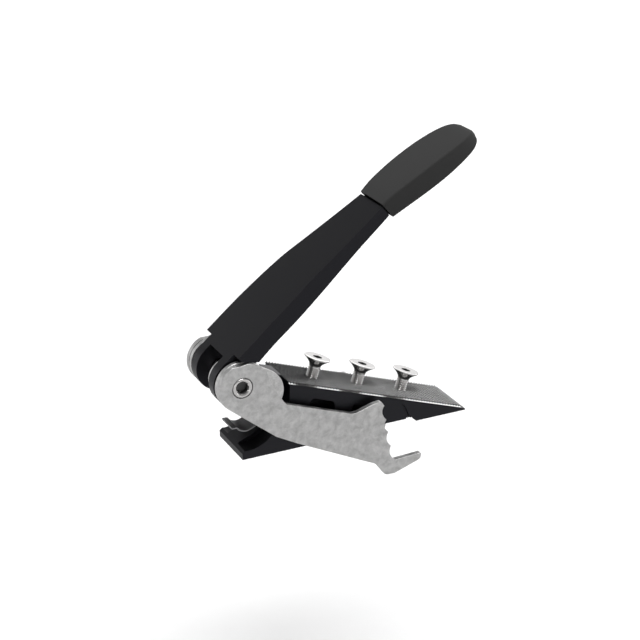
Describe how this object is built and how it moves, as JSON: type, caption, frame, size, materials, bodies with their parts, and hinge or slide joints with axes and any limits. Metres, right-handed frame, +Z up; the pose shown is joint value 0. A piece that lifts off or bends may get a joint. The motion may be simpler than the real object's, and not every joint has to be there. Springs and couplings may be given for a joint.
{
  "type": "lever hook clamp",
  "caption": "Over-centre hook clamp: a fork-ended lever turns cam discs that draw two toothed side hooks along a wedge-shaped block with a diamond-serrated, screwed mounting face.",
  "frame": {"origin": "on the serrated mounting face, on its centre line between the second and third mounting screws", "axes": "+Z up with the block's underside level, +X along the underside towards the wedge tip, +Y across the clamp along the lever axle"},
  "size_m": [0.1392, 0.0408, 0.1612],
  "materials": {
    "anodised_block": "black anodised, satin, with a diamond-serrated top face and bright chamfered edges",
    "anodised_lever": "black anodised, fine satin",
    "grip_rubber": "soft-touch black rubber",
    "tumbled_steel": "stainless sheet, tumbled matt with fine mottling",
    "bright_steel": "bright stainless, turned",
    "spring_steel": "blued spring steel",
    "washer_plastic": "black, matt",
    "bush_bronze": "sintered bronze"
  },
  "bodies": {
    "block": {"wedge_block": "anodised_block", "mounting_screw_1": "bright_steel", "mounting_screw_2": "bright_steel", "mounting_screw_3": "bright_steel", "leaf_spring": "spring_steel", "leaf_screw": "bright_steel", "axle_bush": "bush_bronze"},
    "lever": {"lever_arm": "anodised_lever", "lever_grip": "grip_rubber", "cam_disc_near": "tumbled_steel", "cam_disc_far": "tumbled_steel", "wear_washer_near": "washer_plastic", "wear_washer_far": "washer_plastic", "thrust_plate": "tumbled_steel", "axle_pin": "bright_steel"},
    "hooks": {"hook_plate_near": "tumbled_steel", "hook_plate_far": "tumbled_steel", "cross_shaft": "bright_steel", "pivot_bolt_near": "bright_steel", "pivot_bolt_far": "bright_steel"}
  },
  "joints": [
    {"name": "lever_hinge", "type": "hinge", "parent": "block", "child": "lever", "pos_m": [-0.07063, 0, 0.01546], "axis": [0, 1, 0], "range_deg": [-105, 47], "deforming": ["leaf_spring"]},
    {"name": "hook_hinge", "type": "hinge", "parent": "lever", "child": "hooks", "pos_m": [-0.07893, 0, 0.02306], "axis": [0, 1, 0], "range_deg": [-14, 115]}
  ]
}
